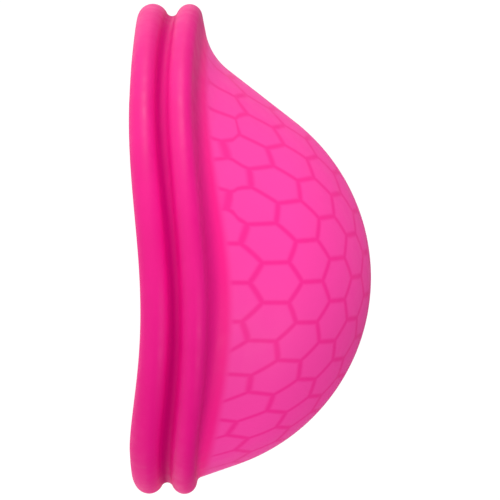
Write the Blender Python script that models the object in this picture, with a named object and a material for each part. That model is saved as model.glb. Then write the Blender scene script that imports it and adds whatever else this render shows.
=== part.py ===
"""Flat-fit silicone cup: a round, wavy double-bead rim, a thick shoulder and a thin honeycomb basin.

Metres, +Z up. The cup stands mouth down: Z = 0 is the surface under the rim, and +Z runs along the
basin's axis to its crown. The basin is a sphere set off towards +X, so the -X side is the shallow,
sloping end and the +X side is the deep, steep end. Y = 0 is the mirror plane of the moulding.
"""
from math import acos, asin, atan2, copysign, cos, hypot, pi, radians, sin, sqrt, tan

import bmesh
import bpy
from mathutils import Vector

MM = 0.001

# Mouth rim: two round beads side by side, with a groove between them. Both the groove and the
# rim's nose wave up and down round the rim, and the front bead fills what is between them.
RIM_RADIUS = 36.0 * MM          # crest of both beads
REAR_BEAD_RADIUS = 1.8 * MM
REAR_BEAD_Z = 2.45 * MM         # above the groove
FRONT_BEAD_SHARE = 0.425        # the front bead's radius, as a share of the way from groove to nose
GROOVE_RADIUS = 0.95 * MM
GROOVE_WAVE = (-0.10, -0.38, -0.61, 0.64, 0.29, -0.14)  # mm, cosine terms round the rim from -X,
NOSE_WAVE = (-4.83, -0.21, -0.78, 0.43, 0.29, -0.31)    # against the sphere's centre
REST_LAND_DEPTH = 0.15 * MM     # the rim's lowest stretches are flattened by this much
NOSE_HALF_ANGLE = radians(9)    # half the angle of the facet along the rim's nose

# Basin: a sphere, run out to the rim along a straight tangent wall.
BASIN_RADIUS = 29.1 * MM
BASIN_OFFSET = 4.2 * MM         # the sphere's axis is this far towards +X
WALL = 0.8 * MM
FLANK_SLOPE = radians(11.3)     # rear flank of the rim, against the rim's plane
CORNER_RADIUS_MEAN = 31.1 * MM  # where flank and wall would meet, from the rim's axis
CORNER_RADIUS_SWING = 2.6 * MM  # less of it at the shallow end, more at the deep end
FILLET_SHARE = 0.55             # share of the flank that the fillet between flank and wall takes
SHOULDER_RUN = 0.9 * MM         # the thick shoulder runs this far up the wall past the fillet
BAND_LOW = 11.5 * MM            # flexible band of the wall, heights above the sphere's centre
BAND_HIGH = 24.0 * MM

# Honeycomb on the inner face of the thin wall: flat-sided cells laid along the sphere.
RIB_WIDTH = 0.55 * MM
RIB_HEIGHT = 0.45 * MM
RIB_MARGIN = 0.3 * MM           # the net stops this far above the shoulder
CELL_SIDE = 3.6 * MM
SHORTEST_STUB = 0.25            # a cut rib keeps this share of a side at both ends
COLUMNS = range(-3, 14)         # columns and rows of cells that can reach the thin wall
ROWS = range(-16, 17)
CELL_ACROSS = (0.2949, 6.0e-6)  # half cells per degree across the basin, and how that falls off
CELL_ALONG = (6.077, 3.2e-5)    # degrees per half cell along the basin, and how that falls off
CELL_ORIGIN = 16.15             # half cells from the net's first column to the mirror plane
CELL_TURN = (2.81, -0.25)       # degrees that the net is turned, at the middle and per half cell
CELL_LEAN = -7.0e-5             # half cells across, per degree across and degree along
CELL_BOW = 5.6e-5               # half cells across, per square degree along
CELL_GROWTH = -1.5e-6           # half cells along, per cubic degree along
CROWDING = 0.069                # the last cells before the shoulder are pushed up by this share of the
CROWDING_UP = (0.32, 0.22)      # sphere's radius. It sets in between these parts of a unit direction:
CROWDING_SHALLOW = (0.10, 0.34)     # up, towards the shallow end and out to either side
CROWDING_SIDE = (0.3, 0.7)
FURTHEST_ACROSS = 21            # half cells from the mirror plane; past it the lines would fold over
FURTHEST_TURN = 100             # degrees along the basin, for the same reason
LOWEST_RISE = 0.05              # least height of a node over the sphere's centre, as a share of its radius

GAP = 0.3 * MM                  # clearance between neighbouring solids
AROUND = 72                     # segments round the rim
SHARP_EDGE = radians(40)
ROUGHNESS = 0.55

# Points along each stretch of a section.
BEAD_ARC_POINTS = 5
NOSE_ARC_POINTS = 6
GROOVE_SIDE_POINTS = 4
GROOVE_POINTS = 3
BEAD_INNER_POINTS = 3
SHOULDER_POINTS = 5
WALL_POINTS = 3
BAND_POINTS = 5
CAP_POINTS = 5


def wave(terms, psi):
    """Height of a line round the rim against the sphere's centre, at the angle psi from -X."""
    return MM * sum(a * cos(k * psi) for k, a in enumerate(terms))


CENTRE_Z = -min(wave(NOSE_WAVE, radians(d)) for d in range(361)) - REST_LAND_DEPTH


def arc(centre, radius, start, end, count):
    """Points (r, z) on an arc; an angle of 0 points outwards and 90 degrees up."""
    angles = (start + (end - start) * i / (count - 1) for i in range(count))
    return [(centre[0] + radius * cos(a), centre[1] + radius * sin(a)) for a in angles]


REAR_CENTRE = (RIM_RADIUS - REAR_BEAD_RADIUS, REAR_BEAD_Z)
FLANK_ANGLE = pi / 2 - FLANK_SLOPE
FLANK_START = (REAR_CENTRE[0] + REAR_BEAD_RADIUS * cos(FLANK_ANGLE),
               REAR_CENTRE[1] + REAR_BEAD_RADIUS * sin(FLANK_ANGLE))


def circle_touching(first, first_radius, second, second_radius, radius):
    """Centre of the circle that touches two others from outside, on their outward side."""
    run = (second[0] - first[0], second[1] - first[1])
    apart = hypot(*run)
    reach = first_radius + radius
    along = (reach ** 2 - (second_radius + radius) ** 2 + apart ** 2) / (2 * apart)
    out = sqrt(reach ** 2 - along ** 2)
    unit = (run[0] / apart, run[1] / apart)
    return (first[0] + unit[0] * along + unit[1] * out, first[1] + unit[1] * along - unit[0] * out)


def bearing(here, there):
    return atan2(there[1] - here[1], there[0] - here[0])


class Meridian:
    """The moulding's section at one angle round the rim, from the rim's nose to the crown."""

    def __init__(self, psi):
        self.outward = Vector((-cos(psi), -sin(psi), 0))
        self.groove_z = wave(GROOVE_WAVE, psi)
        nose_depth = self.groove_z - wave(NOSE_WAVE, psi)
        self.front_radius = FRONT_BEAD_SHARE * nose_depth
        self.front_centre = (RIM_RADIUS - self.front_radius, self.front_radius - nose_depth)
        self.groove_centre = circle_touching(self.front_centre, self.front_radius,
                                             REAR_CENTRE, REAR_BEAD_RADIUS, GROOVE_RADIUS)
        start = self.outward * FLANK_START[0] - Vector((BASIN_OFFSET, 0, 0))
        self.flank_rho = start.length
        self.outward_basin = start.normalized()
        self.flank_z = FLANK_START[1] + self.groove_z
        self.lay_out(FLANK_START[0] - (CORNER_RADIUS_MEAN - CORNER_RADIUS_SWING * cos(psi)))

    def lay_out(self, flank_width):
        """Flank, fillet, straight wall and sphere, as (rho, z) about the sphere's centre."""
        self.flank_length = flank_width / cos(FLANK_SLOPE)
        self.corner = (self.flank_rho - flank_width, self.flank_z + flank_width * tan(FLANK_SLOPE))
        distance = hypot(*self.corner)
        self.touch = atan2(self.corner[1], self.corner[0]) + acos(min(1, BASIN_RADIUS / distance))
        self.straight = sqrt(max(0, distance ** 2 - BASIN_RADIUS ** 2))
        turn = pi / 2 - self.touch - FLANK_SLOPE
        self.trim = FILLET_SHARE * self.flank_length
        self.fillet_radius = self.trim / tan(turn / 2)
        self.fillet_turn = turn
        self.shoulder_top = self.flank_length + self.trim + SHOULDER_RUN

    def outer(self, s):
        """Point and outward normal (rho, z) at the distance s from the start of the flank.

        The fillet is measured by its two tangent lengths, so s keeps its meaning past it."""
        before = s - (self.flank_length - self.trim)
        after = s - (self.flank_length + self.trim)
        up_wall = (-sin(self.touch), cos(self.touch))
        if before < 0:
            normal = FLANK_ANGLE
            point = (self.flank_rho - s * cos(FLANK_SLOPE), self.flank_z + s * sin(FLANK_SLOPE))
        elif after < 0:
            share = before / (2 * self.trim)
            normal = FLANK_ANGLE - self.fillet_turn * share
            start_rho = self.flank_rho - (self.flank_length - self.trim) * cos(FLANK_SLOPE)
            start_z = self.flank_z + (self.flank_length - self.trim) * sin(FLANK_SLOPE)
            centre = (start_rho + self.fillet_radius * cos(FLANK_ANGLE),
                      start_z + self.fillet_radius * sin(FLANK_ANGLE))
            point = (centre[0] - self.fillet_radius * cos(normal),
                     centre[1] - self.fillet_radius * sin(normal))
        elif s < self.flank_length + self.straight:
            normal = self.touch
            run = s - self.flank_length
            point = (self.corner[0] + run * up_wall[0], self.corner[1] + run * up_wall[1])
        else:
            normal = self.touch + (s - self.flank_length - self.straight) / BASIN_RADIUS
            normal = min(normal, pi / 2)
            point = (BASIN_RADIUS * cos(normal), BASIN_RADIUS * sin(normal))
        return point, (cos(normal), sin(normal))

    def crown_distance(self):
        return self.flank_length + self.straight + BASIN_RADIUS * (pi / 2 - self.touch)

    def distance_at_height(self, z):
        """Distance from the start of the flank to where the wall or the sphere reaches height z."""
        straight_top = BASIN_RADIUS * sin(self.touch)
        if z < straight_top:
            return self.flank_length + (z - self.corner[1]) / cos(self.touch)
        return self.flank_length + self.straight + BASIN_RADIUS * (asin(z / BASIN_RADIUS) - self.touch)

    def rim_point(self, section_point):
        r, z = section_point
        return self.outward * r + Vector((0, 0, z + self.groove_z + CENTRE_Z))

    def basin_point(self, s, depth=0.0):
        """A point of the basin at the distance s, at a depth under its outer face."""
        (rho, z), (out, up) = self.outer(s)
        rho -= depth * out
        z -= depth * up
        return self.outward_basin * rho + Vector((BASIN_OFFSET, 0, z + CENTRE_Z))

    def inner_rim(self, t):
        """The mouth's inner face: a smooth curve from the front bead to the thin wall."""
        start = self.rim_point((self.front_centre[0] - self.front_radius, self.front_centre[1]))
        end = self.basin_point(self.shoulder_top, WALL)
        end_run = (self.basin_point(self.shoulder_top + 0.1 * MM, WALL) - end).normalized()
        reach = (end - start).length
        return (start * (2 * t ** 3 - 3 * t ** 2 + 1) + Vector((0, 0, reach)) * (t ** 3 - 2 * t ** 2 + t)
                + end * (3 * t ** 2 - 2 * t ** 3) + end_run * reach * (t ** 3 - t ** 2))


MERIDIANS = [Meridian(2 * pi * i / AROUND) for i in range(AROUND)]
FRONT_SPLIT = 0.22              # where the beads and the shoulder divide the inner face
REAR_SPLIT = 0.44
INNER_LENGTH = 11.0 * MM        # about the inner face's length, to turn the gap into a share of it
HALF_GAP_SHARE = 0.5 * GAP / INNER_LENGTH


def spread(start, end, count):
    return [start + (end - start) * i / (count - 1) for i in range(count)]


def front_bead_section(m):
    centre, radius = m.front_centre, m.front_radius
    to_groove = bearing(centre, m.groove_centre)
    groove_end = pi + 0.5 * GAP / GROOVE_RADIUS
    outer = arc(centre, radius, -pi / 2 + NOSE_HALF_ANGLE, 0, NOSE_ARC_POINTS)
    outer += arc(centre, radius, 0, to_groove, GROOVE_SIDE_POINTS)[1:]
    outer += arc(m.groove_centre, GROOVE_RADIUS, to_groove + pi, groove_end, GROOVE_POINTS)[1:]
    mouth = arc(centre, radius, -pi, -pi / 2 - NOSE_HALF_ANGLE, BEAD_ARC_POINTS)
    inner = [m.inner_rim(t) for t in spread(FRONT_SPLIT - HALF_GAP_SHARE, 0, BEAD_INNER_POINTS)[:-1]]
    points = [m.rim_point(p) for p in outer] + inner + [m.rim_point(p) for p in mouth]
    for point in points:
        point.z = max(point.z, 0)
    return points


def rear_bead_section(m):
    to_groove = bearing(REAR_CENTRE, m.groove_centre)
    groove_start = pi - 0.5 * GAP / GROOVE_RADIUS
    outer = arc(m.groove_centre, GROOVE_RADIUS, groove_start, to_groove + pi, GROOVE_POINTS)
    outer += arc(REAR_CENTRE, REAR_BEAD_RADIUS, to_groove, 0, GROOVE_SIDE_POINTS)[1:]
    outer += arc(REAR_CENTRE, REAR_BEAD_RADIUS, 0, FLANK_ANGLE, BEAD_ARC_POINTS)[1:]
    flank_end = m.flank_length - m.trim - 0.5 * GAP
    inner = spread(REAR_SPLIT - HALF_GAP_SHARE, FRONT_SPLIT + HALF_GAP_SHARE, BEAD_INNER_POINTS + 1)
    return ([m.rim_point(p) for p in outer] + [m.basin_point(flank_end)]
            + [m.inner_rim(t) for t in inner])


def shoulder_section(m):
    start = m.flank_length - m.trim + 0.5 * GAP
    outer = spread(start, m.flank_length + m.trim, SHOULDER_POINTS) + [m.shoulder_top - 0.5 * GAP]
    inner = spread(1 - HALF_GAP_SHARE, REAR_SPLIT + HALF_GAP_SHARE, SHOULDER_POINTS)
    return [m.basin_point(s) for s in outer] + [m.inner_rim(t) for t in inner]


def wall_section(m, start, end, count):
    """A stretch of thin wall between two distances, with half a gap kept at both ends."""
    stations = spread(start + 0.5 * GAP, end - 0.5 * GAP, count)
    return [m.basin_point(s) for s in stations] + [m.basin_point(s, WALL) for s in reversed(stations)]


def material(name, colour):
    made = bpy.data.materials.new(name)
    made.use_nodes = True
    shader = made.node_tree.nodes["Principled BSDF"]
    shader.inputs["Base Color"].default_value = (*colour, 1)
    shader.inputs["Roughness"].default_value = ROUGHNESS
    shader.inputs["Metallic"].default_value = 0
    return made


def add_object(name, mesh_data, colour, parent=None):
    mesh = bpy.data.meshes.new(name)
    bmesh.ops.recalc_face_normals(mesh_data, faces=mesh_data.faces)
    mesh_data.to_mesh(mesh)
    mesh_data.free()
    mesh.shade_smooth()
    mesh.set_sharp_from_angle(angle=SHARP_EDGE)
    mesh.materials.append(material(name, colour))
    made = bpy.data.objects.new(name, mesh)
    bpy.context.collection.objects.link(made)
    if parent:
        made.parent = parent
        made.location = -parent.location


def ring(sections):
    """A closed ring through the same closed section at every meridian."""
    made = bmesh.new()
    loops = [[made.verts.new(p) for p in section] for section in sections]
    for here, after in zip(loops, loops[1:] + loops[:1]):
        for i in range(len(here)):
            j = (i + 1) % len(here)
            made.faces.new((here[i], here[j], after[j], after[i]))
    return made


def cap():
    """The crown: outer and inner spherical skins, joined along their edge."""
    made = bmesh.new()
    tops = [made.verts.new(MERIDIANS[0].basin_point(MERIDIANS[0].crown_distance(), depth))
            for depth in (0, WALL)]
    loops = []
    for m in MERIDIANS:
        edge = m.distance_at_height(BAND_HIGH) + 0.5 * GAP
        stations = spread(edge, m.crown_distance(), CAP_POINTS)[:-1]
        outer = [made.verts.new(m.basin_point(s)) for s in reversed(stations)]
        inner = [made.verts.new(m.basin_point(s, WALL)) for s in stations]
        loops.append(outer + inner)
    for here, after in zip(loops, loops[1:] + loops[:1]):
        for i in range(len(here) - 1):
            made.faces.new((here[i], here[i + 1], after[i + 1], after[i]))
        made.faces.new((here[0], after[0], tops[0]))
        made.faces.new((here[-1], after[-1], tops[1]))
    return made


# Honeycomb. A node of the net is a whole-number pair: half cells across and half cells along.
CELL_EDGES = ((2, 0, 1, 1), (1, 1, -1, 1), (-1, 1, -2, 0))     # three of a cell's sides, from its centre
CELL_STEP = (3, 2)                                             # to the next column and the next row
SETTLING_ROUNDS = 24                                           # for the two angles that a place stands for


def ease(value, start, end):
    share = min(1, max(0, (value - start) / (end - start)))
    return share * share * (3 - 2 * share)


def crowded(direction):
    """Pushes a direction of the even net up where the last cells are crowded together."""
    share = min(1, max(0, (direction.z - CROWDING_UP[0]) / (CROWDING_UP[1] - CROWDING_UP[0])))
    z = direction.z + (CROWDING * share * ease(-direction.x, *CROWDING_SHALLOW)
                       * ease(abs(direction.y), *CROWDING_SIDE))
    side = sqrt(max(0, 1 - direction.x ** 2 - z ** 2))
    return Vector((direction.x, copysign(side, direction.y), z))


def net_direction(across, along):
    """Unit direction from the sphere's centre for a place in the net, and the degrees along to it."""
    w = CELL_ORIGIN - across
    tilt, turn = w / CELL_ACROSS[0], 0
    for _ in range(SETTLING_ROUNDS):
        tilt = (w - CELL_BOW * turn ** 2) / (CELL_ACROSS[0] - CELL_ACROSS[1] * tilt ** 2
                                             + CELL_LEAN * turn)
        step = CELL_ALONG[0] * (1 - CELL_ALONG[1] * tilt ** 2) / cos(radians(tilt))
        turn = CELL_TURN[0] + CELL_TURN[1] * w + step * (along - CELL_GROWTH * turn ** 3)
        turn = min(max(turn, -FURTHEST_TURN), FURTHEST_TURN)
    a, b = radians(tilt), radians(turn)
    return crowded(Vector((-cos(a) * sin(b), -sin(a), cos(a) * cos(b)))), turn


def meridian_towards(direction):
    """The meridian that holds a direction from the sphere's centre."""
    phi = atan2(-direction.y, -direction.x)
    rho = BASIN_OFFSET * cos(phi) + sqrt(FLANK_START[0] ** 2 - (BASIN_OFFSET * sin(phi)) ** 2)
    return Meridian(atan2(rho * sin(phi), rho * cos(phi) - BASIN_OFFSET))


def net_point(across, along, depth):
    """Point at a depth under the outer face, and its distance above the shoulder."""
    direction, _ = net_direction(across, along)
    m = meridian_towards(direction)
    angle = atan2(direction.z, hypot(direction.x, direction.y))
    if angle > m.touch:
        s = m.flank_length + m.straight + BASIN_RADIUS * (angle - m.touch)
    else:
        s = m.flank_length + m.straight - BASIN_RADIUS * tan(m.touch - angle)
    return m.basin_point(s, depth), s - m.shoulder_top


def in_reach(node):
    """True for a node of the net that lies on the thin wall."""
    if abs(CELL_ORIGIN - node[0]) > FURTHEST_ACROSS:
        return False
    direction, turn = net_direction(*node)
    if abs(turn) >= FURTHEST_TURN or direction.z < LOWEST_RISE:
        return False
    return net_point(*node, 0)[1] > RIB_MARGIN


def net_edges():
    """Every cell side whose two ends lie on the thin wall, as pairs of nodes."""
    edges = set()
    for column in COLUMNS:
        for row in ROWS:
            across, along = CELL_STEP[0] * column, CELL_STEP[1] * row + column % 2
            for a, b, c, d in CELL_EDGES:
                edge = ((across + a, along + b), (across + c, along + d))
                if in_reach(edge[0]) and in_reach(edge[1]):
                    edges.add(edge)
    return sorted(edges)


def rib_net(edges):
    """One closed net of ribs: struts that meet in mitred corners at the nodes."""
    lattice = {}                 # node: its place in the flat net, where a cell's side is 2 long
    links = {}
    for a, b in edges:
        links.setdefault(a, []).append(b)
        links.setdefault(b, []).append(a)
    for node in links:
        lattice[node] = Vector((node[0], node[1] * sqrt(3), 0))
    half = RIB_WIDTH / CELL_SIDE             # half the width, on the scale where a side is 2 long
    made = bmesh.new()
    top_depth = WALL + GAP
    corners = {}                 # (node, left neighbour, right neighbour): the two stacked vertices

    def stacked(place):
        across, along = place.x, place.y / sqrt(3)
        return [made.verts.new(net_point(across, along, depth)[0])
                for depth in (top_depth, top_depth + RIB_HEIGHT)]

    order = {}
    for node, others in links.items():
        here = lattice[node]
        others.sort(key=lambda o: atan2(*(lattice[o] - here).yx))
        order[node] = others
        for i, other in enumerate(others):
            after = others[(i + 1) % len(others)]
            d = (lattice[other] - here).normalized()
            if len(others) == 1:
                left = Vector((-d.y, d.x, 0))
                corners[node, other, "left"] = stacked(here + left * half)
                corners[node, other, "right"] = stacked(here - left * half)
                continue
            e = (lattice[after] - here).normalized()
            mitre = d + e
            turn = (atan2(e.y, e.x) - atan2(d.y, d.x)) % (2 * pi)
            if turn > pi:
                mitre = -mitre
            corner = stacked(here + mitre.normalized() * (half / abs(sin(turn / 2))))
            corners[node, other, "left"] = corner
            corners[node, after, "right"] = corner
    for a, b in edges:
        a_left, a_right = corners[a, b, "left"], corners[a, b, "right"]
        b_left, b_right = corners[b, a, "left"], corners[b, a, "right"]
        made.faces.new((a_right[0], b_left[0], b_right[0], a_left[0]))
        made.faces.new((a_left[1], b_right[1], b_left[1], a_right[1]))
        made.faces.new((a_left[0], b_right[0], b_right[1], a_left[1]))
        made.faces.new((b_left[0], a_right[0], a_right[1], b_left[1]))
    for node, others in order.items():
        if len(others) == 3:
            hub = [corners[node, other, "left"] for other in others]
            made.faces.new([c[0] for c in hub])
            made.faces.new([c[1] for c in reversed(hub)])
        elif len(others) == 1:
            left, right = corners[node, others[0], "left"], corners[node, others[0], "right"]
            made.faces.new((left[0], right[0], right[1], left[1]))
    return made


def divide_net(edges, height):
    """The net below and above a height, with a gap in each rib that crosses it."""
    below, above = [], []
    half_gap = 0.5 * GAP / CELL_SIDE
    for a, b in edges:
        z_a, z_b = (net_point(*node, 0)[0].z - CENTRE_Z for node in (a, b))
        if z_a > z_b:
            a, b, z_a, z_b = b, a, z_b, z_a
        if z_b <= height:
            below.append((a, b))
        elif z_a > height:
            above.append((a, b))
        else:
            share = min(max((height - z_a) / (z_b - z_a), SHORTEST_STUB), 1 - SHORTEST_STUB)
            end, start = (tuple(p + (q - p) * s for p, q in zip(a, b))
                          for s in (share - half_gap, share + half_gap))
            below.append((a, end))
            above.append((start, b))
    return below, above


def build():
    for existing in list(bpy.data.objects):
        bpy.data.objects.remove(existing, do_unlink=True)
    press = bpy.data.objects.new("crown_press_axis", None)
    press.location = (BASIN_OFFSET, 0, CENTRE_Z + BAND_HIGH)
    bpy.context.collection.objects.link(press)

    hot_pink = (0.84, 0.03, 0.28)
    bright_pink = (0.90, 0.05, 0.36)
    light_pink = (1.0, 0.09, 0.43)
    rib_pink = (0.95, 0.045, 0.35)
    add_object("front_rim_bead", ring([front_bead_section(m) for m in MERIDIANS]), hot_pink)
    add_object("rear_rim_bead", ring([rear_bead_section(m) for m in MERIDIANS]), hot_pink)
    add_object("shoulder_collar", ring([shoulder_section(m) for m in MERIDIANS]), bright_pink)
    add_object("basin_wall", ring([
        wall_section(m, m.shoulder_top, m.distance_at_height(BAND_LOW), WALL_POINTS)
        for m in MERIDIANS]), light_pink)
    add_object("flexing_band", ring([
        wall_section(m, m.distance_at_height(BAND_LOW), m.distance_at_height(BAND_HIGH), BAND_POINTS)
        for m in MERIDIANS]), light_pink)
    add_object("crown_cap", cap(), light_pink, parent=press)

    on_wall, on_crown = divide_net(net_edges(), BAND_HIGH)
    add_object("wall_ribs", rib_net(on_wall), rib_pink)
    add_object("crown_ribs", rib_net(on_crown), rib_pink, parent=press)


build()
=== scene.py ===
"""The looks of a flat-fit silicone cup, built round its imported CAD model.

The cup is one silicone moulding: a round, wavy double-bead rim, a thick shoulder and a thin domed
basin with a honeycomb of ribs on its inner face. It stands mouth down, +Z up to the crown. This
script lays out the moulding's whole section at fine steps, cuts the skin into one closed piece for
each CAD node, with the same normals on both sides of every cut, and adds the rounded ribs.
"""
from math import acos, asin, atan2, copysign, cos, degrees, hypot, pi, radians, sin, sqrt, tan

import bmesh
import bpy
from mathutils import Matrix, Vector


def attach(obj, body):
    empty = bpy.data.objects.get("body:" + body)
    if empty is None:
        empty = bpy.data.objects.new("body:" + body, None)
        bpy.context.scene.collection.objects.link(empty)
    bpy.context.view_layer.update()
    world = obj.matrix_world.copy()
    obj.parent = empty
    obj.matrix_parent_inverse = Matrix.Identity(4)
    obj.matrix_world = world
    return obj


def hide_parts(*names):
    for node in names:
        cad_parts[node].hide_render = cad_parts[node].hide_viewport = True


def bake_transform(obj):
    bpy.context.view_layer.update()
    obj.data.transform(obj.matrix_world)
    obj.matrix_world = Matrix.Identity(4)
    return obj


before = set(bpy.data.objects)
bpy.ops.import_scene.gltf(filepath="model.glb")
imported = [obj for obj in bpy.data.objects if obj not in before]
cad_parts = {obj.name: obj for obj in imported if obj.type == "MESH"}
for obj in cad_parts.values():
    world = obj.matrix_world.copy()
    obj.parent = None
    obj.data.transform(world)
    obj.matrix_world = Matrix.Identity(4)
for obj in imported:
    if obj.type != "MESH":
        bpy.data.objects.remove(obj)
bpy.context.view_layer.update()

MM = 0.001

# The moulding, as in the CAD model.
RIM_RADIUS = 36.0 * MM          # crest of both beads
REAR_BEAD_RADIUS = 1.8 * MM
REAR_BEAD_Z = 2.45 * MM         # above the groove
FRONT_BEAD_SHARE = 0.425        # the front bead's radius, as a share of the way from groove to nose
GROOVE_RADIUS = 0.95 * MM
GROOVE_WAVE = (-0.10, -0.38, -0.61, 0.64, 0.29, -0.14)  # mm, cosine terms round the rim from -X,
NOSE_WAVE = (-4.83, -0.21, -0.78, 0.43, 0.29, -0.31)    # against the sphere's centre
REST_LAND_DEPTH = 0.15 * MM     # the rim's lowest stretches are flattened by this much
BASIN_RADIUS = 29.1 * MM
BASIN_OFFSET = 4.2 * MM         # the sphere's axis is this far towards +X
WALL = 0.8 * MM
FLANK_SLOPE = radians(11.3)     # rear flank of the rim, against the rim's plane
CORNER_RADIUS_MEAN = 31.1 * MM  # where flank and wall would meet, from the rim's axis
CORNER_RADIUS_SWING = 2.6 * MM  # less of it at the shallow end, more at the deep end
FILLET_SHARE = 0.55             # share of the flank that the fillet between flank and wall takes
SHOULDER_RUN = 0.9 * MM         # the thick shoulder runs this far up the wall past the fillet
BAND_LOW = 11.5 * MM            # flexible band of the wall, heights above the sphere's centre
BAND_HIGH = 24.0 * MM
FRONT_SPLIT = 0.22              # where the beads and the shoulder divide the inner face
REAR_SPLIT = 0.44

# Honeycomb on the inner face of the thin wall, as in the CAD model.
RIB_WIDTH = 0.55 * MM
RIB_HEIGHT = 0.45 * MM
RIB_ROOT = 0.12 * MM            # the ribs start this deep in the wall, so that no gap shows
RIB_MARGIN = 0.3 * MM
CELL_SIDE = 3.6 * MM
CELL_ACROSS = (0.2949, 6.0e-6)  # half cells per degree across the basin, and how that falls off
CELL_ALONG = (6.077, 3.2e-5)    # degrees per half cell along the basin, and how that falls off
CELL_ORIGIN = 16.15             # half cells from the net's first column to the mirror plane
CELL_TURN = (2.81, -0.25)       # degrees that the net is turned, at the middle and per half cell
CELL_LEAN = -7.0e-5             # half cells across, per degree across and degree along
CELL_BOW = 5.6e-5               # half cells across, per square degree along
CELL_GROWTH = -1.5e-6           # half cells along, per cubic degree along
CROWDING = 0.069                # the last cells before the shoulder are pushed up by this share of the
CROWDING_UP = (0.32, 0.22)      # sphere's radius. It sets in between these parts of a unit direction:
CROWDING_SHALLOW = (0.10, 0.34)     # up, towards the shallow end and out to either side
CROWDING_SIDE = (0.3, 0.7)
FURTHEST_ACROSS = 21            # half cells from the mirror plane; past it the lines would fold over
FURTHEST_TURN = 100             # degrees along the basin, for the same reason
LOWEST_RISE = 0.05              # least height of a node over the sphere's centre, as a share of its radius
COLUMNS = range(-3, 14)         # columns and rows of cells that can reach the thin wall
ROWS = range(-16, 17)
CELL_EDGES = ((2, 0, 1, 1), (1, 1, -1, 1), (-1, 1, -2, 0))     # three of a cell's sides, from its centre
CELL_STEP = (3, 2)                                             # to the next column and the next row

# Where the colour changes, with painted shade in the groove and behind the rear bead.
GROOVE_FLOOR = 34.35 * MM       # about how far the groove's floor is from the rim's axis
HOLLOW_SHADE_SHIFT = 0.3 * MM         # the deepest painted shade lies this far towards the front bead and fades out over this far on both sides
HOLLOW_SHADE_REACH = 1.25 * MM        # and fades out over this far on both sides
HOLLOW_SHADE_FULL = 0.2               # full painted shade to this share of the groove's depth past its floor, and none this share further on
HOLLOW_SHADE_FADE = 1 / 3             # none this share further on
VALLEY_SHADE_SHARE = 0.17             # painted shade the same way behind the rear bead, but fainter
VALLEY_SHADE_PLACE = 4.0 * MM
VALLEY_SHADE_REACH = 3.0 * MM
THICK_RUN = (0.6 * MM, 4.2 * MM)    # how far past the flank the shoulder looks thick: at the least, and
THICK_RUN_EASE = 0.15               # how much more at the two sides than at the ends

# Fineness of the surface.
AROUND = 288                    # segments round the rim
BEAD_STEPS = 14                 # on a quarter turn of a bead
GROOVE_STEPS = 5
FLANK_STEPS = 4
FILLET_STEPS = 14
WALL_STEPS = 6
BAND_STEPS = 18
CAP_STEPS = 16
CROWN_RING = 0.2 * MM           # radius of the small face at the very top
RIM_INNER_STEPS = 6
RIB_BACK_STEPS = 4
RIB_RUN_STEPS = 4
SETTLING_ROUNDS = 24            # for the honeycomb's map, which is solved by steps
HALVINGS = 12                   # for the distance up the fillet, found by halving


def wave(terms, psi):
    """Height of a line round the rim against the sphere's centre, at the angle psi from -X."""
    return MM * sum(a * cos(k * psi) for k, a in enumerate(terms))


CENTRE_Z = -min(wave(NOSE_WAVE, radians(d)) for d in range(361)) - REST_LAND_DEPTH
REAR_CENTRE = (RIM_RADIUS - REAR_BEAD_RADIUS, REAR_BEAD_Z)
FLANK_ANGLE = pi / 2 - FLANK_SLOPE
FLANK_START = (REAR_CENTRE[0] + REAR_BEAD_RADIUS * cos(FLANK_ANGLE),
               REAR_CENTRE[1] + REAR_BEAD_RADIUS * sin(FLANK_ANGLE))


def spread(start, end, steps):
    return [start + (end - start) * i / steps for i in range(steps + 1)]


def arc(centre, radius, start, end, steps):
    """Points (r, z) on an arc; an angle of 0 points outwards and 90 degrees up."""
    return [(centre[0] + radius * cos(a), centre[1] + radius * sin(a)) for a in spread(start, end, steps)]


def circle_touching(first, first_radius, second, second_radius, radius):
    """Centre of the circle that touches two others from outside, on their outward side."""
    run = (second[0] - first[0], second[1] - first[1])
    apart = hypot(*run)
    reach = first_radius + radius
    along = (reach ** 2 - (second_radius + radius) ** 2 + apart ** 2) / (2 * apart)
    out = sqrt(reach ** 2 - along ** 2)
    unit = (run[0] / apart, run[1] / apart)
    return (first[0] + unit[0] * along + unit[1] * out, first[1] + unit[1] * along - unit[0] * out)


def bearing(here, there):
    return atan2(there[1] - here[1], there[0] - here[0])


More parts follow.
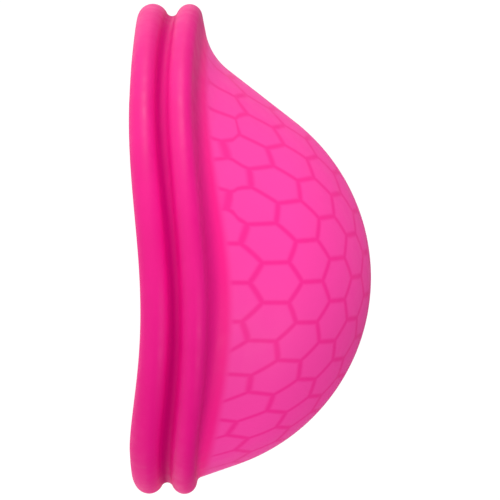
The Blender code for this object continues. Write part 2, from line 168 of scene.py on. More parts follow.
class Meridian:
    """The moulding's section at one angle round the rim, from the rim's nose to the crown."""

    def __init__(self, psi):
        self.outward = Vector((-cos(psi), -sin(psi), 0))
        self.groove_z = wave(GROOVE_WAVE, psi)
        nose_depth = self.groove_z - wave(NOSE_WAVE, psi)
        self.front_radius = FRONT_BEAD_SHARE * nose_depth
        self.front_centre = (RIM_RADIUS - self.front_radius, self.front_radius - nose_depth)
        self.groove_centre = circle_touching(self.front_centre, self.front_radius,
                                             REAR_CENTRE, REAR_BEAD_RADIUS, GROOVE_RADIUS)
        start = self.outward * FLANK_START[0] - Vector((BASIN_OFFSET, 0, 0))
        self.flank_rho = start.length
        self.outward_basin = start.normalized()
        self.flank_z = FLANK_START[1] + self.groove_z
        self.lay_out(FLANK_START[0] - (CORNER_RADIUS_MEAN - CORNER_RADIUS_SWING * cos(psi)))

    def lay_out(self, flank_width):
        """Flank, fillet, straight wall and sphere, as (rho, z) about the sphere's centre."""
        self.flank_length = flank_width / cos(FLANK_SLOPE)
        self.corner = (self.flank_rho - flank_width, self.flank_z + flank_width * tan(FLANK_SLOPE))
        distance = hypot(*self.corner)
        self.touch = atan2(self.corner[1], self.corner[0]) + acos(min(1, BASIN_RADIUS / distance))
        self.straight = sqrt(max(0, distance ** 2 - BASIN_RADIUS ** 2))
        self.fillet_turn = pi / 2 - self.touch - FLANK_SLOPE
        self.trim = FILLET_SHARE * self.flank_length
        self.fillet_radius = self.trim / tan(self.fillet_turn / 2)
        self.shoulder_top = self.flank_length + self.trim + SHOULDER_RUN

    def outer(self, s):
        """Point and outward normal (rho, z) at the distance s from the start of the flank."""
        before = s - (self.flank_length - self.trim)
        after = s - (self.flank_length + self.trim)
        if before < 0:
            normal = FLANK_ANGLE
            point = (self.flank_rho - s * cos(FLANK_SLOPE), self.flank_z + s * sin(FLANK_SLOPE))
        elif after < 0:
            normal = FLANK_ANGLE - self.fillet_turn * before / (2 * self.trim)
            start_rho = self.flank_rho - (self.flank_length - self.trim) * cos(FLANK_SLOPE)
            start_z = self.flank_z + (self.flank_length - self.trim) * sin(FLANK_SLOPE)
            centre = (start_rho + self.fillet_radius * cos(FLANK_ANGLE),
                      start_z + self.fillet_radius * sin(FLANK_ANGLE))
            point = (centre[0] - self.fillet_radius * cos(normal),
                     centre[1] - self.fillet_radius * sin(normal))
        elif s < self.flank_length + self.straight:
            normal = self.touch
            run = s - self.flank_length
            point = (self.corner[0] - run * sin(normal), self.corner[1] + run * cos(normal))
        else:
            normal = self.touch + (s - self.flank_length - self.straight) / BASIN_RADIUS
            normal = min(normal, pi / 2)
            point = (BASIN_RADIUS * cos(normal), BASIN_RADIUS * sin(normal))
        return point, (cos(normal), sin(normal))

    def crown_distance(self):
        return self.flank_length + self.straight + BASIN_RADIUS * (pi / 2 - self.touch)

    def distance_at_height(self, z):
        """Distance from the start of the flank to where the wall or the sphere reaches height z."""
        if z < BASIN_RADIUS * sin(self.touch):
            return self.flank_length + (z - self.corner[1]) / cos(self.touch)
        return self.flank_length + self.straight + BASIN_RADIUS * (asin(z / BASIN_RADIUS) - self.touch)

    def distance_at_angle(self, angle):
        """The same for an angle above the sphere's centre, as if the straight wall ran on down."""
        if angle > self.touch:
            return self.flank_length + self.straight + BASIN_RADIUS * (angle - self.touch)
        return self.flank_length + self.straight - BASIN_RADIUS * tan(self.touch - angle)

    def rim_point(self, section_point):
        r, z = section_point
        point = self.outward * r + Vector((0, 0, z + self.groove_z + CENTRE_Z))
        point.z = max(point.z, 0)
        return point

    def basin_point(self, s, depth=0.0):
        """A point of the basin at the distance s, at a depth under its outer face."""
        (rho, z), (out, up) = self.outer(s)
        rho -= depth * out
        z -= depth * up
        return self.outward_basin * rho + Vector((BASIN_OFFSET, 0, z + CENTRE_Z))

    def inner_rim(self, t):
        """The mouth's inner face: a smooth curve from the front bead to the thin wall."""
        start = self.rim_point((self.front_centre[0] - self.front_radius, self.front_centre[1]))
        end = self.basin_point(self.shoulder_top, WALL)
        end_run = (self.basin_point(self.shoulder_top + 0.1 * MM, WALL) - end).normalized()
        reach = (end - start).length
        return (start * (2 * t ** 3 - 3 * t ** 2 + 1) + Vector((0, 0, reach)) * (t ** 3 - 2 * t ** 2 + t)
                + end * (3 * t ** 2 - 2 * t ** 3) + end_run * reach * (t ** 3 - t ** 2))


# The skin: one closed section at each meridian, from the groove over the outside to the crown and
# back along the inside to the groove again.
def rear_bead_stretch(m):
    to_rear = bearing(REAR_CENTRE, m.groove_centre)
    points = arc(m.groove_centre, GROOVE_RADIUS, pi, to_rear + pi, GROOVE_STEPS)
    points += arc(REAR_CENTRE, REAR_BEAD_RADIUS, to_rear, 0, BEAD_STEPS)[1:]
    points += arc(REAR_CENTRE, REAR_BEAD_RADIUS, 0, FLANK_ANGLE, BEAD_STEPS)[1:]
    flank = spread(0, m.flank_length - m.trim, FLANK_STEPS)[1:]
    return [m.rim_point(p) for p in points] + [m.basin_point(s) for s in flank]


def shoulder_stretch(m):
    fillet = spread(m.flank_length - m.trim, m.flank_length + m.trim, FILLET_STEPS)
    return [m.basin_point(s) for s in fillet + [m.shoulder_top]]


def wall_stops(m):
    """Distances of the stations on the thin wall, for the wall, the band and the cap."""
    low, high = m.distance_at_height(BAND_LOW), m.distance_at_height(BAND_HIGH)
    crown = m.crown_distance()
    return (spread(m.shoulder_top, low, WALL_STEPS), spread(low, high, BAND_STEPS),
            spread(high, crown - CROWN_RING, CAP_STEPS) + [crown])


def front_bead_mouth(m):
    """The front bead from the mouth's inner face round the nose to the groove."""
    to_groove = bearing(m.front_centre, m.groove_centre)
    points = arc(m.front_centre, m.front_radius, -pi, -pi / 2, BEAD_STEPS)
    points += arc(m.front_centre, m.front_radius, -pi / 2, 0, BEAD_STEPS)[1:]
    points += arc(m.front_centre, m.front_radius, 0, to_groove, BEAD_STEPS)[1:]
    points += arc(m.groove_centre, GROOVE_RADIUS, to_groove + pi, pi, GROOVE_STEPS)[1:]
    return [m.rim_point(p) for p in points]


def section(m):
    """The stretches of the closed section; each starts at the point where the one before ends."""
    wall, band, cap = wall_stops(m)
    return {
        "rear_outer": rear_bead_stretch(m),
        "shoulder_outer": shoulder_stretch(m),
        "wall_outer": [m.basin_point(s) for s in wall],
        "band_outer": [m.basin_point(s) for s in band],
        "cap_outer": [m.basin_point(s) for s in cap],
        "cap_inner": [m.basin_point(s, WALL) for s in reversed(cap)],
        "band_inner": [m.basin_point(s, WALL) for s in reversed(band)],
        "wall_inner": [m.basin_point(s, WALL) for s in reversed(wall)],
        "shoulder_inner": [m.inner_rim(t) for t in spread(1, REAR_SPLIT, 2 * RIM_INNER_STEPS)],
        "rear_inner": [m.inner_rim(t) for t in spread(REAR_SPLIT, FRONT_SPLIT, RIM_INNER_STEPS)],
        "front_inner": [m.inner_rim(t) for t in spread(FRONT_SPLIT, 0, RIM_INNER_STEPS)],
        "front_outer": front_bead_mouth(m),
    }


MERIDIANS = [Meridian(2 * pi * i / AROUND) for i in range(AROUND)]
SECTIONS = [section(m) for m in MERIDIANS]
NEXT_STRETCH = dict(zip(SECTIONS[0], list(SECTIONS[0])[1:] + list(SECTIONS[0])[:1]))
LAST_STRETCH = {after: before for before, after in NEXT_STRETCH.items()}


def skin_normal(i, stretch, k):
    """Normal of the whole skin at one station, from its neighbours on every side."""
    here = SECTIONS[i][stretch]
    before = here[k - 1] if k else SECTIONS[i][LAST_STRETCH[stretch]][-2]
    after = here[k + 1] if k + 1 < len(here) else SECTIONS[i][NEXT_STRETCH[stretch]][1]
    left = SECTIONS[i - 1][stretch][k]
    right = SECTIONS[(i + 1) % AROUND][stretch][k]
    return (after - before).cross(right - left).normalized()


# Places in the honeycomb. A node of the net is a whole-number pair: half cells across and along.
def ease(value, start, end):
    share = min(1, max(0, (value - start) / (end - start)))
    return share * share * (3 - 2 * share)


def side_part(x, z):
    """Size of the y that makes (x, y, z) a unit direction."""
    return sqrt(max(0, 1 - x ** 2 - z ** 2))


def crowding(x, z):
    """How far a direction of the even net is pushed up."""
    if z >= CROWDING_UP[0] or -x <= CROWDING_SHALLOW[0]:
        return 0
    share = min(1, (z - CROWDING_UP[0]) / (CROWDING_UP[1] - CROWDING_UP[0]))
    return CROWDING * share * ease(-x, *CROWDING_SHALLOW) * ease(side_part(x, z), *CROWDING_SIDE)


def crowded(direction):
    z = direction.z + crowding(direction.x, direction.z)
    return Vector((direction.x, copysign(side_part(direction.x, z), direction.y), z))


def evened(direction):
    """The direction of the even net that crowded() brings to this one."""
    z = direction.z
    for _ in range(SETTLING_ROUNDS):
        before, z = z, direction.z - crowding(direction.x, z)
        if z == before:
            break
    return Vector((direction.x, copysign(side_part(direction.x, z), direction.y), z))


def net_direction(across, along):
    """Unit direction from the sphere's centre for a place in the net, and the degrees along to it."""
    w = CELL_ORIGIN - across
    tilt, turn = w / CELL_ACROSS[0], 0
    for _ in range(SETTLING_ROUNDS):
        tilt = (w - CELL_BOW * turn ** 2) / (CELL_ACROSS[0] - CELL_ACROSS[1] * tilt ** 2
                                             + CELL_LEAN * turn)
        step = CELL_ALONG[0] * (1 - CELL_ALONG[1] * tilt ** 2) / cos(radians(tilt))
        turn = CELL_TURN[0] + CELL_TURN[1] * w + step * (along - CELL_GROWTH * turn ** 3)
        turn = min(max(turn, -FURTHEST_TURN), FURTHEST_TURN)
    a, b = radians(tilt), radians(turn)
    return crowded(Vector((-cos(a) * sin(b), -sin(a), cos(a) * cos(b)))), turn


def net_place(point):
    """The flat net's (x, y), where a cell's side is 2 long, for a point of the basin."""
    direction = evened((point - Vector((BASIN_OFFSET, 0, CENTRE_Z))).normalized())
    lateral = asin(-direction.y)
    tilt = degrees(lateral)
    turn = degrees(atan2(-direction.x, direction.z))
    w = (tilt * (CELL_ACROSS[0] - CELL_ACROSS[1] * tilt ** 2 + CELL_LEAN * turn)
         + CELL_BOW * turn ** 2)
    along = ((turn - CELL_TURN[0] - CELL_TURN[1] * w) * cos(lateral)
             / (CELL_ALONG[0] * (1 - CELL_ALONG[1] * tilt ** 2)) + CELL_GROWTH * turn ** 3)
    return CELL_ORIGIN - w, along * sqrt(3)


def meridian_towards(direction):
    """The meridian that holds a direction from the sphere's centre."""
    phi = atan2(-direction.y, -direction.x)
    rho = BASIN_OFFSET * cos(phi) + sqrt(FLANK_START[0] ** 2 - (BASIN_OFFSET * sin(phi)) ** 2)
    return Meridian(atan2(rho * sin(phi), rho * cos(phi) - BASIN_OFFSET))


def net_point(across, along, depths):
    """Points at depths under the outer face, and their distance above the shoulder."""
    direction, _ = net_direction(across, along)
    m = meridian_towards(direction)
    s = m.distance_at_angle(atan2(direction.z, hypot(direction.x, direction.y)))
    return [m.basin_point(s, depth) for depth in depths], s - m.shoulder_top


# Pieces of the skin.
class Skin:
    """A mesh in the making, with the normals that its corners keep."""

    def __init__(self):
        self.points, self.normals, self.faces, self.corner_normals = [], [], [], []

    def add(self, point, normal):
        self.points.append(point)
        self.normals.append(normal)
        return len(self.points) - 1

    def face(self, corners, flat=False):
        self.faces.append(corners)
        if flat:
            a, b, c = (self.points[i] for i in corners[:3])
            self.corner_normals += [(b - a).cross(c - b).normalized()] * len(corners)
        else:
            self.corner_normals += [self.normals[i] for i in corners]

    def strips(self, columns, flat=False):
        """Faces between each column of vertices and the next, all the way round."""
        for here, after in zip(columns, columns[1:] + columns[:1]):
            for k in range(len(here) - 1):
                self.face((here[k], here[k + 1], after[k + 1], after[k]), flat)

    def finish(self, name):
        mesh = bpy.data.meshes.new(name)
        mesh.from_pydata(self.points, [], self.faces)
        mesh.normals_split_custom_set(self.corner_normals)
        made = bpy.data.objects.new(name, mesh)
        bpy.context.scene.collection.objects.link(made)
        return made


def skin_columns(skin, stretch, skip_last=False):
    columns = []
    for i in range(AROUND):
        points = SECTIONS[i][stretch][:-1] if skip_last else SECTIONS[i][stretch]
        columns.append([skin.add(p, skin_normal(i, stretch, k)) for k, p in enumerate(points)])
    return columns


def ring_piece(name, outer, inner):
    """A closed ring between an outer and an inner stretch of the skin."""
    skin = Skin()
    first, second = skin_columns(skin, outer), skin_columns(skin, inner)
    skin.strips(first)
    skin.strips(second)
    skin.strips([[a[-1], b[0]] for a, b in zip(first, second)], flat=True)
    skin.strips([[b[-1], a[0]] for a, b in zip(first, second)], flat=True)
    return skin.finish(name)


def cap_piece(name):
    """The crown: two spherical skins, joined along their edge."""
    skin = Skin()
    outer = skin_columns(skin, "cap_outer", skip_last=True)
    inner = []
    for i in range(AROUND):
        points = list(enumerate(SECTIONS[i]["cap_inner"]))[1:]
        inner.append([skin.add(p, skin_normal(i, "cap_inner", k)) for k, p in points])
    skin.strips(outer)
    skin.strips(inner)
    skin.strips([[b[-1], a[0]] for a, b in zip(outer, inner)], flat=True)
    skin.face([column[-1] for column in reversed(outer)])
    skin.face([column[0] for column in inner])
    return skin.finish(name)


# Ribs: struts with a round back that meet in mitred corners at the nodes. A layer is a share of the
# half width, which is a little more at the foot, and a rise over the wall's inner face.
HALF_RIB = RIB_WIDTH / CELL_SIDE             # half the width, on the scale where a side is 2 long
BACK_START = radians(25)                     # where the round back starts above the foot
RIB_LAYERS = [(1.25, -RIB_ROOT), (1.12, 0.0)] + [
    (cos(a), RIB_HEIGHT * sin(a)) for a in spread(BACK_START, pi / 2, RIB_BACK_STEPS)]
MERGE_DISTANCE = 0.002 * MM
SHORTEST_EDGE = 0.001 * MM
SHARP_EDGE = radians(60)


def in_reach(node):
    """True for a node of the net that lies on the thin wall."""
    if abs(CELL_ORIGIN - node[0]) > FURTHEST_ACROSS:
        return False
    direction, turn = net_direction(*node)
    if abs(turn) >= FURTHEST_TURN or direction.z < LOWEST_RISE:
        return False
    return net_point(*node, [0])[1] > RIB_MARGIN


def net_edges():
    """Every cell side whose two ends lie on the thin wall, as pairs of nodes."""
    edges = set()
    for column in COLUMNS:
        for row in ROWS:
            across, along = CELL_STEP[0] * column, CELL_STEP[1] * row + column % 2
            for a, b, c, d in CELL_EDGES:
                edge = ((across + a, along + b), (across + c, along + d))
                if in_reach(edge[0]) and in_reach(edge[1]):
                    edges.add(edge)
    return sorted(edges)


def divide_net(edges, height):
    """The net below and above a height; a rib that crosses it is cut there."""
    below, above = [], []
    for a, b in edges:
        z_a, z_b = (net_point(*node, [0])[0][0].z - CENTRE_Z for node in (a, b))
        if z_a > z_b:
            a, b, z_a, z_b = b, a, z_b, z_a
        if z_b <= height:
            below.append((a, b))
        elif z_a > height:
            above.append((a, b))
        else:
            share = (height - z_a) / (z_b - z_a)
            cut = tuple(p + (q - p) * share for p, q in zip(a, b))
            below.append((a, cut))
            above.append((cut, b))
    return below, above


class RibNet:
    """One closed net of ribs on the inner face of the wall."""

    def __init__(self, edges):
        self.points, self.faces = [], []
        self.links = {}
        for a, b in edges:
            self.links.setdefault(a, []).append(b)
            self.links.setdefault(b, []).append(a)
        self.flat = {node: Vector((node[0], node[1] * sqrt(3))) for node in self.links}
        self.corners = {}        # (node, other, side): flat places of the foot line's corner, and its stack
        for node in self.links:
            self.lay_corners(node)
        for a, b in edges:
            self.lay_strut(a, b)
        for node, others in self.links.items():
            self.close_node(node, others)

    def stack(self, centre, offset):
        """Vertices from the foot to the back, over a place that is moved out by a share of offset."""
        made = []
        for share, rise in RIB_LAYERS:
            place = centre + offset * share
            point = net_point(place.x, place.y / sqrt(3), [WALL + rise])[0][0]
            self.points.append(point)
            made.append(len(self.points) - 1)
        return made

    def lay_corners(self, node):
        here = self.flat[node]
        others = self.links[node]
        others.sort(key=lambda o: atan2(*(self.flat[o] - here).yx))
        for i, other in enumerate(others):
            d = (self.flat[other] - here).normalized()
            if len(others) == 1:
                left = Vector((-d.y, d.x))
                self.corners[node, other, "left"] = (here, left * HALF_RIB)
                self.corners[node, other, "right"] = (here, -left * HALF_RIB)
                continue
            after = others[(i + 1) % len(others)]
            e = (self.flat[after] - here).normalized()
            turn = (atan2(e.y, e.x) - atan2(d.y, d.x)) % (2 * pi)
            mitre = -(d + e) if turn > pi else d + e
            offset = mitre.normalized() * (HALF_RIB / abs(sin(turn / 2)))
            self.corners[node, other, "left"] = (here, offset)
            self.corners[node, after, "right"] = (here, offset)

    def lay_strut(self, a, b):
        """One strut: two sides that share the line along its back, and its foot."""
        for side_a, side_b in (("left", "right"), ("right", "left")):
            (here, offset_a), (there, offset_b) = self.corners[a, b, side_a], self.corners[b, a, side_b]
            stacks = [self.stack(here.lerp(there, t), offset_a.lerp(offset_b, t))
                      for t in spread(0, 1, RIB_RUN_STEPS)]
            for one, two in zip(stacks, stacks[1:]):
                for k in range(len(RIB_LAYERS) - 1):
                    quad = (one[k], two[k], two[k + 1], one[k + 1])
                    self.faces.append(quad if side_a == "right" else quad[::-1])
            if side_a == "left":
                left_feet = [s[0] for s in stacks]
            else:
                right_feet = [s[0] for s in stacks]
        for k in range(RIB_RUN_STEPS):
            self.faces.append((left_feet[k], left_feet[k + 1], right_feet[k + 1], right_feet[k]))

    def close_node(self, node, others):
        """The foot under a meeting of three struts, or the end of a loose one."""
        stacks = [self.stack(*self.corners[node, other, "left"]) for other in others]
        if len(others) == 3:
            self.faces.append([s[0] for s in stacks][::-1])
        elif len(others) == 1:
            right = self.stack(*self.corners[node, others[0], "right"])
            for k in range(len(RIB_LAYERS) - 1):
                self.faces.append((stacks[0][k], right[k], right[k + 1], stacks[0][k + 1]))

    def finish(self, name):
        made = bmesh.new()
        verts = [made.verts.new(p) for p in self.points]
        for corners in self.faces:
            made.faces.new([verts[i] for i in corners])
        bmesh.ops.remove_doubles(made, verts=made.verts, dist=MERGE_DISTANCE)
        bmesh.ops.dissolve_degenerate(made, edges=made.edges, dist=SHORTEST_EDGE)
        bmesh.ops.recalc_face_normals(made, faces=made.faces)
        mesh = bpy.data.meshes.new(name)
        made.to_mesh(mesh)
        made.free()
        mesh.shade_smooth()
        mesh.set_sharp_from_angle(angle=SHARP_EDGE)
        piece = bpy.data.objects.new(name, mesh)
        bpy.context.scene.collection.objects.link(piece)
        return piece


def store(piece, name, kind, values):
    """A value for each vertex that the material reads, so that it stays put when the piece bends."""
    attribute = piece.data.attributes.new(name, kind, "POINT")
    flat = [x for v in values for x in v] if kind == "FLOAT_VECTOR" else values
    attribute.data.foreach_set("vector" if kind == "FLOAT_VECTOR" else "value", flat)


def past_thick(point):
    """How far up the wall a point is past the line where the shoulder's thick silicone turns thin."""
    direction = point - Vector((BASIN_OFFSET, 0, CENTRE_Z))
    m = meridian_towards(direction)
    angle = atan2(direction.z, hypot(direction.x, direction.y))
    s = m.distance_at_angle(angle)
    if s < m.flank_length + m.trim:
        low, high = 0, m.flank_length + m.trim
        for _ in range(HALVINGS):
            s = (low + high) / 2
            (rho, z), _ = m.outer(s)
            if atan2(z, rho) < angle:
                low = s
            else:
                high = s
    thick = THICK_RUN[0] + THICK_RUN[1] * hypot(m.outward.y, THICK_RUN_EASE)
    return s - (m.flank_length - m.trim) - thick


def note_places(piece):
    """Notes each vertex's place at rest, in mm, its place in the honeycomb, and how much painted shade it
    gets in the groove and behind the rear bead.
    """
    points = [v.co for v in piece.data.vertices]
    store(piece, "rest_place", "FLOAT_VECTOR", [p / MM for p in points])
    net = []
    hollow_shade = []
    for p in points:
        inwards = RIM_RADIUS - hypot(p.x, p.y)
        across = p.z - CENTRE_Z - wave(GROOVE_WAVE, atan2(-p.y, -p.x)) + HOLLOW_SHADE_SHIFT
        depth = inwards / (RIM_RADIUS - GROOVE_FLOOR)
        deep = max(0, min(1, 1 - (abs(depth - 1) - HOLLOW_SHADE_FULL) / HOLLOW_SHADE_FADE))
        past = past_thick(p)
        # Painted shade: full in the groove's floor, fainter in the valley behind the rear bead.
        hollow_shade.append(deep * max(0, 1 - abs(across) / HOLLOW_SHADE_REACH)
                      + VALLEY_SHADE_SHARE * max(0, 1 - abs(past + VALLEY_SHADE_PLACE) / VALLEY_SHADE_REACH))
        net.append((*net_place(p), past / MM))
    store(piece, "net_place", "FLOAT_VECTOR", net)
    store(piece, "hollow_shade", "FLOAT", hollow_shade)


# Materials.
THICK_PINK = (0.82, 0.002, 0.238, 1)
DEEP_PINK = (0.79, 0.001, 0.224, 1)
# Painted shade: the darker pink of the groove and of the valley behind the rear bead.
HOLLOW_SHADE_PINK = (0.52, 0.0003, 0.140, 1)
# Painted light: a brighter glow where the shoulder thins, and after it a paler pink for light let through
# the thin wall.
GLOW_PINK = (0.97, 0.009, 0.265, 1)
LIT_THROUGH_PINK = (0.99, 0.052, 0.385, 1)
RIB_PINK = (0.95, 0.020, 0.300, 1)
GLOW_STRETCH = (-3.4, -0.7)         # mm past the thick-to-thin line: where the painted glow starts, where painted light let through the thin wall turns it pale and where the honeycomb's lines appear
LIT_THROUGH_STRETCH = (-0.9, 0.9)          # where it turns pale
LINE_STRETCH = (-0.5, 0.8)          # and where the honeycomb's lines appear
LINE_EDGE = (0.04, 0.38)            # a line fades out between these, where a cell's side is 2 long
# Painted shade: the gloss nearly goes where the groove and the valley are shaded.
SKIN_GLOSS, HOLLOW_SHADE_GLOSS = 0.36, 0.03
# Painted sheen: the skin is glossier at the shallow end, towards the key light, and duller at the deep end.
SHEEN_STRETCH = (-36, 36)           # mm along the cup, from the shallow end to the deep end, and how
SHEEN_SHARES = (1.45, 0.45)         # much of the mean gloss the skin has there
SILICONE_IOR = 1.41
ROUGHNESS = (0.46, 0.58)
MOTTLE_SCALE = 0.16                 # noise cells per mm: the mottle in the colour, the patches of
PATCH_SCALE = 0.5                   # roughness and the fine grain
GRAIN_SCALE = 5.0
GRAIN_HEIGHT = 0.03 * MM


class Nodes:
    """Short calls for a material's nodes."""

    def __init__(self, tree):
        self.tree = tree

    def add(self, kind, inputs=(), **settings):
        node = self.tree.nodes.new(kind)
        for key, value in settings.items():
            setattr(node, key, value)
        for index, value in dict(inputs).items():
            if isinstance(value, bpy.types.NodeSocket):
                self.tree.links.new(value, node.inputs[index])
            else:
                node.inputs[index].default_value = value
        return node

    def math(self, operation, *values):
        return self.add("ShaderNodeMath", dict(enumerate(values)), operation=operation).outputs[0]

    def vector(self, operation, *values):
        node = self.add("ShaderNodeVectorMath", dict(enumerate(values)), operation=operation)
        return node.outputs["Value" if operation in ("DOT_PRODUCT", "LENGTH") else "Vector"]

    def fade(self, value, start, end, low=0.0, high=1.0):
        """Low before start, high after end, and smooth between them."""
        node = self.add("ShaderNodeMapRange", {"Value": value, "From Min": start, "From Max": end,
                                               "To Min": low, "To Max": high},
                        interpolation_type="SMOOTHSTEP")
        return node.outputs["Result"]

    def mix(self, factor, one, two):
        node = self.add("ShaderNodeMix", {0: factor, 6: one, 7: two}, data_type="RGBA")
        return node.outputs[2]

    def mix_value(self, factor, one, two):
        return self.add("ShaderNodeMix", {0: factor, 2: one, 3: two}).outputs[0]

    def attribute(self, name):
        return self.add("ShaderNodeAttribute", attribute_name=name)

    def noise(self, place, scale, detail=3.0):
        node = self.add("ShaderNodeTexNoise", {"Vector": place, "Scale": scale, "Detail": detail})
        return node.outputs["Fac"]


def cell_norm(nodes, place, shift):
    """How far a place is from the nearest centre of one half of the cells, in steps of a cell's side."""
    moved = nodes.vector("SUBTRACT", place, shift)
    half = (3, sqrt(3), 1000)       # half of the pattern's repeat; Z doesn't repeat
    wrapped = nodes.vector("WRAP", moved, half, tuple(-h for h in half))
    size = nodes.vector("ABSOLUTE", wrapped)
    slanted = nodes.vector("DOT_PRODUCT", size, (sqrt(3) / 2, 0.5, 0))
    upright = nodes.vector("DOT_PRODUCT", size, (0, 1, 0))
    return nodes.math("MAXIMUM", slanted, upright)


def honeycomb_lines(nodes):
    """1 over the middle of a rib and 0 between ribs, fading out towards the shoulder."""
    place = nodes.attribute("net_place").outputs["Vector"]
    nearest = nodes.math("MINIMUM", cell_norm(nodes, place, (0, 0, 0)),
                         cell_norm(nodes, place, (3, sqrt(3), 0)))
    line = nodes.fade(nodes.math("SUBTRACT", sqrt(3), nearest), *LINE_EDGE, 1.0, 0.0)
    past = nodes.add("ShaderNodeSeparateXYZ", {0: place}).outputs["Z"]
    return nodes.math("MULTIPLY", line, nodes.fade(past, *LINE_STRETCH))


def silicone(name, lines=False, ribs=False):
    """Matte silicone: pink with painted light let through where it is thin, painted shade in the hollows, a
    painted sheen, a faint mottle and a fine moulded grain.
    """
    made = bpy.data.materials.new(name)
    made.use_nodes = True
    nodes = Nodes(made.node_tree)
    links = made.node_tree.links
    shader = made.node_tree.nodes["Principled BSDF"]
    place = nodes.attribute("rest_place").outputs["Vector"]
    mottle = nodes.fade(nodes.noise(place, MOTTLE_SCALE, 2.0), 0.3, 0.7)
    thick = nodes.mix(mottle, DEEP_PINK, THICK_PINK)
    if ribs:
        colour = nodes.mix(mottle, THICK_PINK, RIB_PINK)
    else:
        net_place = nodes.attribute("net_place").outputs["Vector"]
        past = nodes.add("ShaderNodeSeparateXYZ", {0: net_place}).outputs["Z"]
        hollow_shade = nodes.attribute("hollow_shade").outputs["Fac"]
        # Painted light: a brighter glow where the shoulder thins, then a paler pink for light let through
        # the thin wall.
        colour = nodes.mix(nodes.fade(past, *GLOW_STRETCH), thick, GLOW_PINK)
        colour = nodes.mix(nodes.fade(past, *LIT_THROUGH_STRETCH), colour, LIT_THROUGH_PINK)
        # Painted shade in the groove and behind the rear bead.
        colour = nodes.mix(hollow_shade, colour, HOLLOW_SHADE_PINK)
    if lines:
        colour = nodes.mix(honeycomb_lines(nodes), colour, RIB_PINK)
    if not ribs:
        gloss = nodes.fade(hollow_shade, 0.0, 1.0, SKIN_GLOSS, HOLLOW_SHADE_GLOSS)
        # Painted sheen: glossier towards the key light at the shallow end.
        along = nodes.add("ShaderNodeSeparateXYZ", {0: place}).outputs["X"]
        sheen = nodes.fade(along, *SHEEN_STRETCH, *SHEEN_SHARES)
        links.new(nodes.math("MULTIPLY", gloss, sheen), shader.inputs["Specular IOR Level"])
    rough = nodes.fade(nodes.noise(place, PATCH_SCALE, 4.0), 0.25, 0.75, *ROUGHNESS)
    grain = nodes.noise(place, GRAIN_SCALE)
    bump = nodes.add("ShaderNodeBump", {"Strength": 0.25, "Distance": GRAIN_HEIGHT, "Height": grain})
    links.new(colour, shader.inputs["Base Color"])
    links.new(rough, shader.inputs["Roughness"])
    links.new(bump.outputs["Normal"], shader.inputs["Normal"])
    shader.inputs["IOR"].default_value = SILICONE_IOR
    shader.inputs["Metallic"].default_value = 0.0
    return made


def place_pieces():
    rim = silicone("rim_silicone")
    shoulder = silicone("shoulder_silicone", lines=True)
    wall = silicone("thin_wall_silicone", lines=True)
    rib = silicone("rib_silicone", ribs=True)
    on_wall, on_crown = divide_net(net_edges(), BAND_HIGH)
    pieces = [
        (ring_piece("front_bead_skin", "front_outer", "front_inner"), "front_rim_bead", "rim_silicone", rim),
        (ring_piece("rear_bead_skin", "rear_outer", "rear_inner"), "rear_rim_bead", "rim_silicone", rim),
        (ring_piece("shoulder_skin", "shoulder_outer", "shoulder_inner"), "shoulder_collar",
         "shoulder_silicone", shoulder),
        (ring_piece("basin_wall_skin", "wall_outer", "wall_inner"), "basin_wall",
         "thin_wall_silicone", wall),
        (ring_piece("band_skin", "band_outer", "band_inner"), "flexing_band", "thin_wall_silicone", wall),
        (cap_piece("crown_skin"), "crown_cap", "thin_wall_silicone", wall),
        (RibNet(on_wall).finish("wall_honeycomb"), "wall_ribs", "rib_silicone", rib),
        (RibNet(on_crown).finish("crown_honeycomb"), "crown_ribs", "rib_silicone", rib),
    ]
    for piece, node, slot, material in pieces:
        piece.data.materials.append(material)
        note_places(piece)
        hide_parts(node)
        if node in ("flexing_band", "wall_ribs"):
            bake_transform(piece)
        elif node in ("crown_cap", "crown_ribs"):
            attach(piece, "crown")
        else:
            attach(piece, "cup")


# Studio.
SENSOR = 36.0                   # mm
LENS = 165.66
ROLL = radians(0.46)
EYE = Vector((0.07 * MM, -0.340, CENTRE_Z + 11.22 * MM))
LIT_POINT = (0, 0, 0.015)
LIGHTS = (("key", (-0.67, -0.32, 0.08), 0.4, 3.7),      # name, place, size and power
          ("front", (0.0, -0.75, 0.20), 0.6, 0.3),
          ("side", (0.42, -0.36, 0.55), 0.5, 2.4))
FLOOR_REACH = 4.0


def area_light(name, place, size, power):
    light = bpy.data.lights.new(name, "AREA")
    light.shape = "DISK"
    light.size = size
    light.energy = power
    made = bpy.data.objects.new(name, light)
    bpy.context.scene.collection.objects.link(made)
    made.location = place
    made.rotation_euler = (Vector(LIT_POINT) - Vector(place)).to_track_quat("-Z", "Y").to_euler()


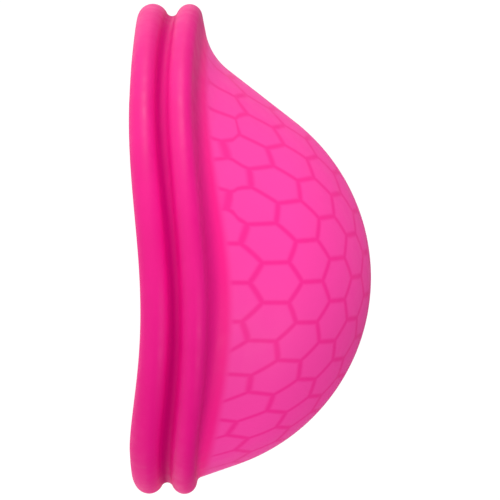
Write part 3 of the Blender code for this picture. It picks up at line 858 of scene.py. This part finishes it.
def floor():
    """A white light table, so that the cup's underside is lit as well."""
    mesh = bpy.data.meshes.new("floor")
    corners = [(x * FLOOR_REACH, y * FLOOR_REACH, 0) for x, y in ((-1, -1), (1, -1), (1, 1), (-1, 1))]
    mesh.from_pydata(corners, [], [(0, 1, 2, 3)])
    material = bpy.data.materials.new("floor")
    material.use_nodes = True
    shader = material.node_tree.nodes["Principled BSDF"]
    shader.inputs["Base Color"].default_value = (0.1, 0.1, 0.1, 1)
    shader.inputs["Roughness"].default_value = 1.0
    shader.inputs["Specular IOR Level"].default_value = 0.0
    shader.inputs["Emission Color"].default_value = (1, 1, 1, 1)
    shader.inputs["Emission Strength"].default_value = 1.0
    mesh.materials.append(material)
    made = bpy.data.objects.new("floor", mesh)
    bpy.context.scene.collection.objects.link(made)


def sky():
    """White near the horizon and dimmer overhead."""
    world = bpy.data.worlds.new("sky")
    bpy.context.scene.world = world
    world.use_nodes = True
    nodes = Nodes(world.node_tree)
    direction = nodes.add("ShaderNodeTexCoord").outputs["Generated"]
    parts = nodes.add("ShaderNodeSeparateXYZ", {0: direction}).outputs
    overhead = nodes.fade(parts["X"], -0.3, 0.7, 0.30, 0.17)
    level = nodes.fade(parts["X"], 0.2, 0.6, 1.05, 0.35)
    strength = nodes.mix_value(nodes.fade(parts["Z"], 0.12, 0.3), level, overhead)
    world.node_tree.links.new(strength, world.node_tree.nodes["Background"].inputs["Strength"])
    world.node_tree.nodes["Background"].inputs["Color"].default_value = (1, 1, 1, 1)


def camera():
    """Looks along +Y with -X up, level with the middle of the cup."""
    data = bpy.data.cameras.new("camera")
    data.sensor_width = SENSOR
    data.lens = LENS
    made = bpy.data.objects.new("camera", data)
    bpy.context.scene.collection.objects.link(made)
    right = Vector((-sin(ROLL), 0, cos(ROLL)))
    up = Vector((-cos(ROLL), 0, -sin(ROLL)))
    made.matrix_world = Matrix((right, up, right.cross(up))).transposed().to_4x4()
    made.location = EYE
    bpy.context.scene.camera = made


bpy.context.scene.view_settings.view_transform = "Standard"
camera()
place_pieces()
floor()
sky()
for light in LIGHTS:
    area_light(*light)
